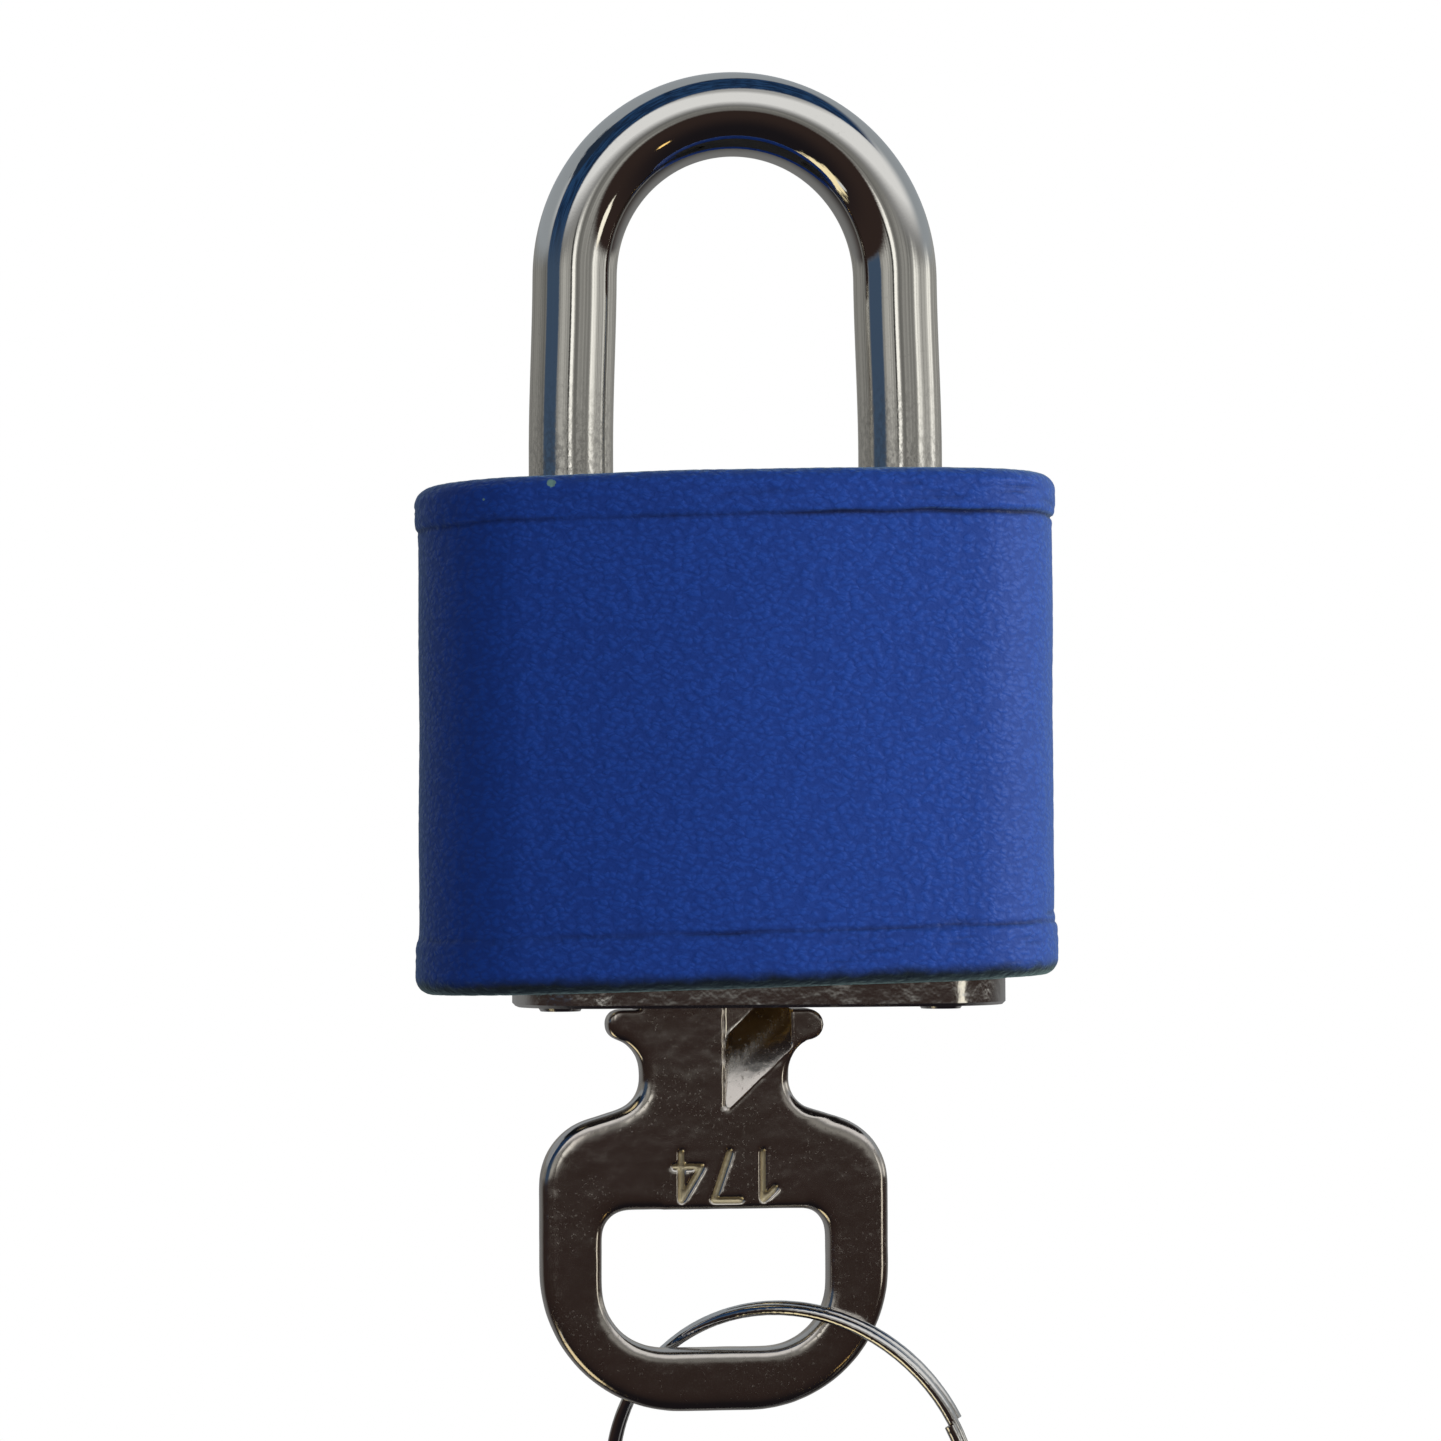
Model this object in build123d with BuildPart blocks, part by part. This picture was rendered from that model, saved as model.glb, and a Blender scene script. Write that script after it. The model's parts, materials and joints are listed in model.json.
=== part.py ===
"""Small leather-covered padlock with its key and split ring, hanging by the shackle.

Millimetres, +Z up, +X to the right, the front faces -Y. The origin is the inside of the shackle's crown,
where whatever the lock hangs from touches it. Heights are given from the leather's lower edge, and level()
turns a height into a Z of this frame.
"""

import os
from math import atan2, cos, degrees, radians, sin

from build123d import *

# body
body_width = 25.0
body_depth = 12.8
body_height = 19.5
end_radius = 5.4
crown_height = 32.2
band_step = 0.15
leather = 0.75
lip = 0.6
top_opening_inset = 2.6
panel_gap = 0.05
panel_hole_gap = 0.12
panel_thickness = 0.5
flange_thickness = 1.0
flange_inset = leather
core_inset = leather + 0.2
fit_gap = 0.02
bore_spare = 0.2
lower_band = 2.1
upper_band = 1.7
edge_radius = 0.7

# shackle
leg_spacing = 12.86
rod_radius = 1.63
arch_centre_height = 27.4
leg_play = 0.05
toe_tip_height = 14.2
heel_neck_top = 13.4
heel_neck_radius = 1.1
collar_radius = 1.5
collar_bottom = 5.0
collar_top = 6.0
heel_bore_floor = 2.0
tip_chamfer = 0.4
retaining_pin_radius = 0.45
retaining_pin_height = 12.8
retaining_pin_length = 8.6
shackle_spring_radius = 1.15
shackle_spring_wire = 0.17
shackle_spring_pitch = 0.6

# cylinder
plug_x = -1.0
plug_radius = 3.3
plug_neck_radius = 3.0
running_gap = 0.05
plug_bottom = -0.6
plug_shoulder = 0.65
plug_top = 11.2
tang_width = 2.3
tang_thickness = 0.7
tang_depth = 0.8
tang_gap = 0.1
station_heights = [2.7, 4.7, 6.7, 8.7]
cut_depths = [0.5, 0.9, 1.3, 1.7]
key_pin_radius = 0.7
key_pin_tip = 0.35
pin_chamfer = 0.1
driver_radius = 0.8
driver_length = 2.6
chamber_plug_length = 1.5
chamber_plug_recess = 0.15
pin_spring_radius = 0.55
pin_spring_wire = 0.11
pin_spring_pitch = 0.55

# latch
pocket_floor = 16.5
pocket_left = -4.4
pocket_right = 8.7
pocket_half_depth = 2.6
pocket_corner = 1.2
cam_narrow = 1.1
cam_wide = 1.4
cam_stem_radius = 1.0
cam_collar_radius = 1.55
cam_collar_thickness = 0.7
notch_spare = 0.15
arm_gap = 1.13
arm_thickness = 0.7
arm_bottom = 16.65
arm_top = 17.65
arm_bend_x = -2.4
arm_end_x = 8.3

# base plate
plate_left = -8.7
plate_right = 10.25
plate_half_depth = 4.2
plate_corner = 3.4
plate_drop = 0.75
plate_chamfer = 0.12
rivet_xs = [-6.9, 7.9]
rivet_radius = 0.55
rivet_head_radius = 0.9
rivet_head_height = 0.2
rivet_head_taper = 35

# screws in the top plate
screw_y = 4.0
screw_radius = 0.6
screw_head_radius = 1.0
screw_length = 3.2
screw_slot = 0.3

# key
key_thickness = 1.7
blade_half_width = 2.87
blade_step_x = 0.4
blade_web = 0.85
blade_tip_height = 9.6
blade_tip_slope = (1.6, 1.2)
blade_root = -1.5
cut_half_width = 0.55
step_runout_start = -4.8
step_runout_end = -2.4
keyway_gap = 0.08
keyway_overrun = 1.0
shoulder_top = -0.9
ear_tip = (4.2, -1.5)
ear_root_x = 3.6
neck_height = -3.45
collar_foot = (3.75, -4.75)
bow_top = (4.7, -5.05)
bow_shoulder = (6.12, -5.9)
bow_side_top = -7.5
bow_bottom = -16.3
bow_half_width = 6.74
bow_corner = 5.4
bow_edge_round = 0.45
hole_edge_round = 0.3
hole_half_width = 4.36
hole_top = -8.57
hole_bottom = -13.9
hole_top_corner = 1.0
hole_bottom_corner = 2.4
number_x = 0.35
number_height = -6.35
number_left = -2.1
digit_height = 1.85
digit_width = 1.05
digit_pitch = 1.5
digit_stroke = 0.26
digit_depth = 0.15
one = [(0.15, 0.75, 0.6, 1.0), (0.6, 1.0, 0.6, 0.0)]
seven = [(0.0, 1.0, 1.0, 1.0), (1.0, 1.0, 0.4, 0.0)]
four = [(0.75, 0.0, 0.75, 1.0), (0.75, 1.0, 0.0, 0.3), (0.0, 0.3, 1.0, 0.3)]
number_strokes = [one, seven, four]

# split ring
ring_radius = 7.33
ring_wire = 0.22
ring_pitch = 0.46
ring_centre_x = 1.98
ring_centre_y = 0.3
ring_centre_height = -19.6
ring_yaw = 25.0
ring_lean = 10.0
ring_end_angle = 25.0

heel_x = -leg_spacing / 2
toe_x = leg_spacing / 2
core_bottom = lip + flange_thickness
core_top = body_height - lip - flange_thickness
shear_x = plug_x + plug_radius + running_gap
stations = [(0, height) for height in station_heights]

os.makedirs("parts", exist_ok=True)


def level(height):
    """Z of a height above the leather's lower edge."""
    return height - crown_height


def at_height(height):
    """Horizontal plane at a height above the leather's lower edge."""
    return Plane.XY.offset(level(height))


def across(x):
    """Upright plane facing +X at x, with its own Y upwards from the leather's lower edge."""
    return Plane(origin=(x, 0, level(0)), x_dir=(0, 1, 0), z_dir=(1, 0, 0))


def oval(inset):
    """Face of the body's section moved inwards by inset: two flat bows joined by two tight ends."""
    end_x = body_width / 2 - end_radius
    half_depth = body_depth / 2
    bow_radius = (end_x**2 + half_depth**2 - end_radius**2) / (2 * (half_depth - end_radius))
    bow_centre = bow_radius - half_depth
    turn = degrees(atan2(bow_centre, end_x))
    end, bow = end_radius - inset, bow_radius - inset
    with BuildSketch() as section:
        with BuildLine():
            CenterArc((end_x, 0), end, -turn, 2 * turn)
            CenterArc((0, -bow_centre), bow, turn, 180 - 2 * turn)
            CenterArc((-end_x, 0), end, 180 - turn, 2 * turn)
            CenterArc((0, bow_centre), bow, 180 + turn, 180 - 2 * turn)
        make_face()
    return section.sketch


def plate_outline(grow=0.0):
    """Face of the base plate's rounded outline, longer on the side of the pin chambers."""
    with BuildSketch() as outline:
        length = plate_right - plate_left + 2 * grow
        with Locations(((plate_left + plate_right) / 2, 0)):
            RectangleRounded(length, 2 * (plate_half_depth + grow), plate_corner + grow)
    return outline.sketch


def coil_spring(plane, radius, wire, length, pitch):
    """Coil of round wire standing on a plane, as long over its wire as the given length."""
    with BuildPart() as spring:
        with BuildLine() as path:
            Helix(
                pitch=pitch,
                height=length - 2 * wire,
                radius=radius,
                center=plane.offset(wire).origin,
                direction=plane.z_dir,
            )
        with BuildSketch(Plane(origin=path.line @ 0, z_dir=path.line % 0)):
            Circle(wire)
        sweep(path=path.line, is_frenet=True)
    return spring


def save(piece, name):
    piece.part.label = name
    export_step(piece.part, f"parts/{name}.step")


# ---- case: brass block, flanges, base plate and leather ----

with BuildPart() as lock_body:
    with BuildSketch(at_height(core_bottom)):
        add(oval(core_inset))
    extrude(amount=core_top - core_bottom)
    with BuildSketch(at_height(core_bottom)):
        with Locations((plug_x, 0)):
            Circle(plug_radius + running_gap)
    extrude(amount=plug_top + running_gap - core_bottom, mode=Mode.SUBTRACT)
    with BuildSketch(at_height(plug_top)):
        with Locations((plug_x, 0)):
            Circle(cam_collar_radius + running_gap)
    extrude(amount=core_top - plug_top, mode=Mode.SUBTRACT)
    with BuildSketch(at_height(pocket_floor)):
        with Locations(((pocket_left + pocket_right) / 2, 0)):
            RectangleRounded(pocket_right - pocket_left, 2 * pocket_half_depth, pocket_corner)
    extrude(amount=core_top - pocket_floor, mode=Mode.SUBTRACT)
    with BuildSketch(at_height(toe_tip_height - bore_spare)):
        with Locations((toe_x, 0)):
            Circle(rod_radius + leg_play)
    extrude(amount=core_top - toe_tip_height + bore_spare, mode=Mode.SUBTRACT)
    with BuildSketch(at_height(heel_bore_floor)):
        with Locations((heel_x, 0)):
            Circle(collar_radius + leg_play)
    extrude(amount=core_top - heel_bore_floor, mode=Mode.SUBTRACT)
    with BuildSketch(at_height(heel_neck_top - bore_spare)):
        with Locations((heel_x, 0)):
            Circle(rod_radius + leg_play)
    extrude(amount=core_top - heel_neck_top + bore_spare, mode=Mode.SUBTRACT)
    with BuildSketch(across(shear_x - bore_spare)):
        with Locations(*stations):
            Circle(driver_radius + running_gap)
    extrude(amount=body_width / 2, mode=Mode.SUBTRACT)
    pin_x = heel_x - heel_neck_radius - retaining_pin_radius - running_gap
    with BuildSketch(Plane(origin=(pin_x, 0, level(retaining_pin_height)), z_dir=(0, 1, 0))):
        Circle(retaining_pin_radius + fit_gap)
    extrude(amount=body_depth, both=True, mode=Mode.SUBTRACT)
    with BuildSketch(at_height(body_height - lip - screw_length - bore_spare)):
        with Locations((plug_x, screw_y), (plug_x, -screw_y)):
            Circle(screw_radius + fit_gap)
    extrude(amount=screw_length, mode=Mode.SUBTRACT)
save(lock_body, "lock_body")

with BuildPart() as bottom_flange:
    with BuildSketch(at_height(lip)):
        add(oval(flange_inset))
        with Locations((plug_x, 0)):
            Circle(plug_radius + running_gap, mode=Mode.SUBTRACT)
        with Locations(*[(x, 0) for x in rivet_xs]):
            Circle(rivet_radius + fit_gap, mode=Mode.SUBTRACT)
    extrude(amount=flange_thickness)
save(bottom_flange, "bottom_flange")

with BuildPart() as top_plate:
    with BuildSketch(at_height(core_top)):
        add(oval(flange_inset))
        with Locations((heel_x, 0), (toe_x, 0)):
            Circle(rod_radius + leg_play, mode=Mode.SUBTRACT)
    extrude(amount=flange_thickness)
    with Locations((plug_x, screw_y, level(body_height - lip)), (plug_x, -screw_y, level(body_height - lip))):
        CounterSinkHole(screw_radius + fit_gap, screw_head_radius + fit_gap, counter_sink_angle=90)
save(top_plate, "top_plate")

with BuildPart() as top_screws:
    with BuildSketch(at_height(body_height - lip)):
        with Locations((plug_x, screw_y), (plug_x, -screw_y)):
            Circle(screw_head_radius)
    extrude(amount=-(screw_head_radius - screw_radius), taper=45)
    with BuildSketch(at_height(body_height - lip)):
        with Locations((plug_x, screw_y), (plug_x, -screw_y)):
            Circle(screw_radius)
    extrude(amount=-screw_length)
    with BuildSketch(at_height(body_height - lip)):
        with Locations((plug_x, screw_y), (plug_x, -screw_y)):
            Rectangle(2 * screw_head_radius, screw_slot)
    extrude(amount=-screw_slot, mode=Mode.SUBTRACT)
save(top_screws, "top_screws")

with BuildPart() as base_plate:
    with BuildSketch(at_height(-plate_drop)):
        add(plate_outline())
        with Locations((plug_x, 0)):
            Circle(plug_neck_radius + running_gap, mode=Mode.SUBTRACT)
        with Locations(*[(x, 0) for x in rivet_xs]):
            Circle(rivet_radius + fit_gap, mode=Mode.SUBTRACT)
    extrude(amount=plate_drop + lip)
    lower_rim = base_plate.faces().sort_by(Axis.Z)[0].outer_wire().edges()
    chamfer(lower_rim, plate_chamfer)
save(base_plate, "base_plate")

with BuildPart() as base_rivets:
    for x in rivet_xs:
        with BuildSketch(at_height(-plate_drop)):
            with Locations((x, 0)):
                Circle(rivet_radius)
        extrude(amount=plate_drop + core_bottom)
        with BuildSketch(at_height(-plate_drop)):
            with Locations((x, 0)):
                Circle(rivet_head_radius)
        extrude(amount=-rivet_head_height, taper=rivet_head_taper)
save(base_rivets, "base_rivets")

with BuildPart() as leather_sleeve:
    with BuildSketch(at_height(0)):
        add(oval(band_step))
    extrude(amount=body_height)
    with BuildSketch(at_height(0)):
        add(oval(0))
    extrude(amount=lower_band)
    with BuildSketch(at_height(body_height)):
        add(oval(0))
    extrude(amount=-upper_band)
    rims = leather_sleeve.faces().filter_by(Axis.Z).sort_by(Axis.Z)
    fillet(rims[0].edges() + rims[-1].edges(), edge_radius)
    with BuildSketch(at_height(core_bottom)):
        add(oval(core_inset - fit_gap))
    extrude(amount=core_top - core_bottom, mode=Mode.SUBTRACT)
    for bottom in (lip, core_top):
        with BuildSketch(at_height(bottom)):
            add(oval(flange_inset - fit_gap))
        extrude(amount=flange_thickness, mode=Mode.SUBTRACT)
    with BuildSketch(at_height(0)):
        add(plate_outline(grow=running_gap))
    extrude(amount=lip, mode=Mode.SUBTRACT)
    with BuildSketch(at_height(body_height)):
        add(oval(top_opening_inset))
    extrude(amount=-lip, mode=Mode.SUBTRACT)
save(leather_sleeve, "leather_sleeve")

with BuildPart() as leather_top_panel:
    with BuildSketch(at_height(body_height - lip)):
        add(oval(top_opening_inset + panel_gap))
        with Locations((heel_x, 0), (toe_x, 0)):
            Circle(rod_radius + panel_hole_gap, mode=Mode.SUBTRACT)
    extrude(amount=panel_thickness)
save(leather_top_panel, "leather_top_panel")

with BuildPart() as chamber_plugs:
    chamber_end_x = body_width / 2 - core_inset - chamber_plug_recess
    with BuildSketch(across(chamber_end_x)):
        with Locations(*stations):
            Circle(driver_radius + fit_gap)
    extrude(amount=-chamber_plug_length)
save(chamber_plugs, "chamber_plugs")

with BuildPart() as retaining_pin:
    with BuildSketch(Plane(origin=(pin_x, 0, level(retaining_pin_height)), z_dir=(0, 1, 0))):
        Circle(retaining_pin_radius)
    extrude(amount=retaining_pin_length / 2, both=True)
save(retaining_pin, "retaining_pin")

for number, height in enumerate(station_heights, start=1):
    driver_x = shear_x + fit_gap
    with BuildPart() as driver_pin:
        with BuildSketch(Plane(origin=(driver_x, 0, level(height)), z_dir=(1, 0, 0))):
            Circle(driver_radius)
        extrude(amount=driver_length)
        chamfer(driver_pin.edges(), pin_chamfer)
    save(driver_pin, f"driver_pin_{number}")

    spring_x = driver_x + driver_length + fit_gap
    spring_length = chamber_end_x - chamber_plug_length - fit_gap - spring_x
    pin_spring = coil_spring(
        Plane(origin=(spring_x, 0, level(height)), z_dir=(1, 0, 0)),
        pin_spring_radius,
        pin_spring_wire,
        spring_length,
        pin_spring_pitch,
    )
    save(pin_spring, f"pin_spring_{number}")

shackle_spring = coil_spring(
    Plane(origin=(heel_x, 0, level(heel_bore_floor + fit_gap))),
    shackle_spring_radius,
    shackle_spring_wire,
    collar_bottom - heel_bore_floor - 2 * fit_gap,
    shackle_spring_pitch,
)
save(shackle_spring, "shackle_spring")

with BuildPart() as locking_spring:
    with BuildSketch(at_height(arm_bottom)):
        with BuildLine():
            Polyline((arm_end_x, arm_gap), (arm_bend_x, arm_gap))
            CenterArc((arm_bend_x, 0), arm_gap, 90, 180)
            Polyline(
                (arm_bend_x, -arm_gap),
                (arm_end_x, -arm_gap),
                (arm_end_x, -arm_gap - arm_thickness),
                (arm_bend_x, -arm_gap - arm_thickness),
            )
            CenterArc((arm_bend_x, 0), arm_gap + arm_thickness, 270, -180)
            Polyline(
                (arm_bend_x, arm_gap + arm_thickness),
                (arm_end_x, arm_gap + arm_thickness),
                (arm_end_x, arm_gap),
            )
        make_face()
    extrude(amount=arm_top - arm_bottom)
save(locking_spring, "locking_spring")

# ---- shackle ----

with BuildPart() as shackle:
    with BuildLine() as rod_line:
        Line((toe_x, 0, level(toe_tip_height)), (toe_x, 0, level(arch_centre_height)))
        ThreePointArc(
            (toe_x, 0, level(arch_centre_height)),
            (0, 0, level(arch_centre_height + toe_x)),
            (heel_x, 0, level(arch_centre_height)),
        )
        Line((heel_x, 0, level(arch_centre_height)), (heel_x, 0, level(heel_neck_top)))
    with BuildSketch(at_height(toe_tip_height)):
        with Locations((toe_x, 0)):
            Circle(rod_radius)
    sweep(path=rod_line.line)
    chamfer(shackle.edges().filter_by(GeomType.CIRCLE).sort_by(Axis.Z)[0], tip_chamfer)
    with BuildSketch(at_height(heel_neck_top)):
        with Locations((heel_x, 0)):
            Circle(heel_neck_radius)
    extrude(amount=collar_top - heel_neck_top)
    with BuildSketch(at_height(collar_bottom)):
        with Locations((heel_x, 0)):
            Circle(collar_radius)
    extrude(amount=collar_top - collar_bottom)
    with BuildSketch(at_height(pocket_floor)):
        for side in (1, -1):
            with Locations((toe_x, side * (cam_narrow + rod_radius / 2))):
                Rectangle(2 * rod_radius, rod_radius)
    extrude(amount=arm_top + notch_spare - pocket_floor, mode=Mode.SUBTRACT)
save(shackle, "shackle")

# ---- plug, cam and key pins ----

with BuildPart() as plug:
    with BuildSketch(at_height(plug_bottom)):
        with Locations((plug_x, 0)):
            Circle(plug_neck_radius)
    extrude(amount=plug_shoulder - plug_bottom)
    with BuildSketch(at_height(plug_shoulder)):
        with Locations((plug_x, 0)):
            Circle(plug_radius)
    extrude(amount=plug_top - plug_shoulder)
    with BuildSketch(at_height(plug_bottom)):
        keyway_width = blade_half_width + keyway_overrun + blade_step_x + keyway_gap
        with Locations((plug_x + blade_step_x + keyway_gap - keyway_width / 2, 0)):
            Rectangle(keyway_width, key_thickness + 2 * keyway_gap)
        with Locations((plug_x + (blade_half_width + keyway_gap) / 2, key_thickness / 2 - blade_web / 2)):
            Rectangle(blade_half_width + keyway_gap, blade_web + 2 * keyway_gap)
    extrude(amount=blade_tip_height + bore_spare - plug_bottom, mode=Mode.SUBTRACT)
    with BuildSketch(across(plug_x + blade_step_x)):
        with Locations(*stations):
            Circle(key_pin_radius + running_gap)
    extrude(amount=plug_radius, mode=Mode.SUBTRACT)
    with BuildSketch(at_height(plug_top)):
        with Locations((plug_x, 0)):
            Rectangle(tang_width + tang_gap, tang_thickness + tang_gap)
    extrude(amount=-tang_depth, mode=Mode.SUBTRACT)
save(plug, "plug")

with BuildPart() as cam:
    with BuildSketch(at_height(plug_top - tang_depth + fit_gap)):
        with Locations((plug_x, 0)):
            Rectangle(tang_width, tang_thickness)
    extrude(amount=tang_depth)
    with BuildSketch(at_height(plug_top + fit_gap)):
        with Locations((plug_x, 0)):
            Circle(cam_collar_radius)
    extrude(amount=cam_collar_thickness)
    with BuildSketch(at_height(plug_top + cam_collar_thickness)):
        with Locations((plug_x, 0)):
            Circle(cam_stem_radius)
    extrude(amount=pocket_floor - plug_top - cam_collar_thickness)
    with BuildSketch(at_height(pocket_floor)):
        with Locations((plug_x, 0)):
            Ellipse(cam_wide, cam_narrow)
    extrude(amount=arm_top - pocket_floor)
save(cam, "cam")

for number, (height, cut) in enumerate(zip(station_heights, cut_depths), start=1):
    tip_x = plug_x + blade_half_width - cut + fit_gap
    outer_x = plug_x + plug_radius - fit_gap
    with BuildPart() as key_pin:
        with BuildSketch(Plane(origin=(outer_x, 0, level(height)), z_dir=(-1, 0, 0))):
            Circle(key_pin_radius)
        extrude(amount=outer_x - tip_x)
        ends = key_pin.edges().sort_by(Axis.X)
        chamfer(ends[0], key_pin_tip)
        chamfer(ends[-1], pin_chamfer)
    save(key_pin, f"key_pin_{number}")

# ---- key ----

with BuildPart() as key:
    front = Plane(origin=(plug_x, -key_thickness / 2, level(0)), x_dir=(1, 0, 0), z_dir=(0, -1, 0))
    number_plane = Plane(
        origin=(plug_x + number_x, -key_thickness / 2, level(number_height)),
        x_dir=(-1, 0, 0),
        z_dir=(0, -1, 0),
    )
    with BuildSketch(front):
        with BuildLine():
            corner = bow_half_width - bow_corner
            Line((0, bow_bottom), (corner, bow_bottom))
            CenterArc((corner, bow_bottom + bow_corner), bow_corner, -90, 90)
            Line((bow_half_width, bow_bottom + bow_corner), (bow_half_width, bow_side_top))
            ThreePointArc((bow_half_width, bow_side_top), bow_shoulder, bow_top)
            Line(bow_top, collar_foot)
            ThreePointArc(collar_foot, (3.06, -4.25), (blade_half_width, neck_height))
            ThreePointArc((blade_half_width, neck_height), (3.02, -2.65), (ear_root_x, -2.1))
            ThreePointArc((ear_root_x, -2.1), ear_tip, (ear_root_x, shoulder_top))
            Line((ear_root_x, shoulder_top), (0, shoulder_top))
            Line((0, shoulder_top), (0, bow_bottom))
        make_face()
        mirror(about=Plane.YZ)
    extrude(amount=-key_thickness)
    rounded = key.edges().filter_by_position(Axis.Z, level(bow_bottom) - 1, level(neck_height))
    rounded = rounded.filter_by(lambda edge: abs((edge % 0.5).Y) < 0.5)
    fillet(rounded, bow_edge_round)
    with BuildSketch(front):
        with BuildLine():
            Polyline(
                (-hole_half_width, hole_top),
                (hole_half_width, hole_top),
                (hole_half_width, hole_bottom),
                (-hole_half_width, hole_bottom),
                close=True,
            )
        make_face()
        fillet(vertices().group_by(Axis.Y)[-1], hole_top_corner)
        fillet(vertices().group_by(Axis.Y)[0], hole_bottom_corner)
    extrude(amount=-key_thickness, mode=Mode.SUBTRACT)
    hole_rim = key.edges(Select.LAST).filter_by(lambda edge: abs((edge % 0.5).Y) < 0.5)
    fillet(hole_rim, hole_edge_round)
    with BuildSketch(front):
        with BuildLine():
            edge_xs = [blade_half_width - cut for cut in cut_depths]
            steps = [(blade_half_width, station_heights[0] - 1)]
            for x, height in zip(edge_xs, station_heights):
                steps += [(x, height - cut_half_width), (x, height + cut_half_width)]
            Polyline(
                (-blade_half_width, blade_root),
                (blade_half_width, blade_root),
                *steps,
                (edge_xs[-1] - cut_half_width, blade_tip_height),
                (-blade_half_width + blade_tip_slope[0], blade_tip_height),
                (-blade_half_width, blade_tip_height - blade_tip_slope[1]),
                close=True,
            )
        make_face()
    extrude(amount=-key_thickness)
    with BuildSketch(front):
        with BuildLine():
            Polyline(
                (blade_step_x, step_runout_start),
                (blade_half_width + running_gap, step_runout_end),
                (blade_half_width + running_gap, blade_tip_height + 1),
                (blade_step_x, blade_tip_height + 1),
                close=True,
            )
        make_face()
    extrude(amount=-(key_thickness - blade_web), mode=Mode.SUBTRACT)
    with BuildSketch(number_plane):
        for place, strokes in enumerate(number_strokes):
            left = number_left + place * digit_pitch
            for from_x, from_y, to_x, to_y in strokes:
                start = Vector(left + from_x * digit_width, from_y * digit_height)
                run = Vector(left + to_x * digit_width, to_y * digit_height) - start
                with Locations(start + run / 2):
                    SlotCenterToCenter(run.length, digit_stroke, rotation=degrees(atan2(run.Y, run.X)))
    extrude(amount=-digit_depth, mode=Mode.SUBTRACT)
save(key, "key")

# ---- split ring ----

yaw, lean, end_angle = radians(ring_yaw), radians(ring_lean), radians(ring_end_angle)
across_ring = Vector(cos(yaw), -sin(yaw), 0)
ring_axis = Vector(sin(yaw) * cos(lean), cos(yaw) * cos(lean), sin(lean))
up_ring = across_ring.cross(ring_axis)
ring_plane = Plane(
    origin=Vector(ring_centre_x, ring_centre_y, level(ring_centre_height)) - ring_axis * ring_pitch,
    x_dir=across_ring * cos(end_angle) + up_ring * sin(end_angle),
    z_dir=ring_axis,
)
with BuildPart() as split_ring:
    with BuildLine() as turns:
        Helix(pitch=ring_pitch, height=2 * ring_pitch, radius=ring_radius)
    ring_path = ring_plane.from_local_coords(turns.line)
    with BuildSketch(Plane(origin=ring_path @ 0, z_dir=ring_path % 0)):
        Circle(ring_wire)
    sweep(path=ring_path, is_frenet=True)
save(split_ring, "split_ring")
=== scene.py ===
"""Looks of a small leather-covered padlock with its key and split ring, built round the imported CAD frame.

Blender works in metres, so lengths here are millimetres times mm. Heights are above the leather's lower edge.
"""

import json
from math import atan2, cos, pi, radians, sin, sqrt

import bpy
import numpy as np
from mathutils import Matrix, Vector, noise


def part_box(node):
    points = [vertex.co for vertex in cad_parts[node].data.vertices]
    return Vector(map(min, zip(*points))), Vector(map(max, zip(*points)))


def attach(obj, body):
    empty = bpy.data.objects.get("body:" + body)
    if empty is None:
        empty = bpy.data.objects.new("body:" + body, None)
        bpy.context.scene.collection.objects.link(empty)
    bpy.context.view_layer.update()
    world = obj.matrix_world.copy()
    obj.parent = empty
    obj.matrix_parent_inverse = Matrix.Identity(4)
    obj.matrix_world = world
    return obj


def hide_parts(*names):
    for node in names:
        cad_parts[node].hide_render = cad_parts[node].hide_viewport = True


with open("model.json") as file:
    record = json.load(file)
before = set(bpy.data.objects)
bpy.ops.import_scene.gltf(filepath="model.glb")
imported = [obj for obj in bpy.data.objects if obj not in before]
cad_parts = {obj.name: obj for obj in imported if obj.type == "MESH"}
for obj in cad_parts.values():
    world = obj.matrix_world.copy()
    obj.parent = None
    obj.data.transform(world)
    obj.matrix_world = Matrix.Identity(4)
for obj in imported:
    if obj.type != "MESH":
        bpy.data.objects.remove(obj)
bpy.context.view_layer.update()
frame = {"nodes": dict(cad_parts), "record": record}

mm = 0.001
sleeve_low, sleeve_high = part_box("leather_sleeve")
plate_low, plate_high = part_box("base_plate")
shackle_low, shackle_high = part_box("shackle")
foot = sleeve_low.z
skew = 0.026  # rise per run of the glued leather, which sits a little askew on the case
body_height = sleeve_high.z - foot
step_left, step_tip = -0.6, -4.8  # left edge and lowest height of the key's milled step, in millimetres


def at(height):
    """Z of a height in millimetres above the leather's lower edge."""
    return foot + height * mm


def new_object(name, mesh):
    piece = bpy.data.objects.new(name, mesh)
    bpy.context.scene.collection.objects.link(piece)
    return piece


def dress(piece, body, slot, finish, *nodes):
    """The piece rides on a body, stands for CAD nodes, and takes the finish it is given; the slot argument is
    not used.
    """
    piece.data.materials.clear()
    piece.data.materials.append(finish)
    for face in piece.data.polygons:
        face.use_smooth = True
        face.material_index = 0
    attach(piece, body)
    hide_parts(*nodes)
    return piece


# ---- shader nodes ----


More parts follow.
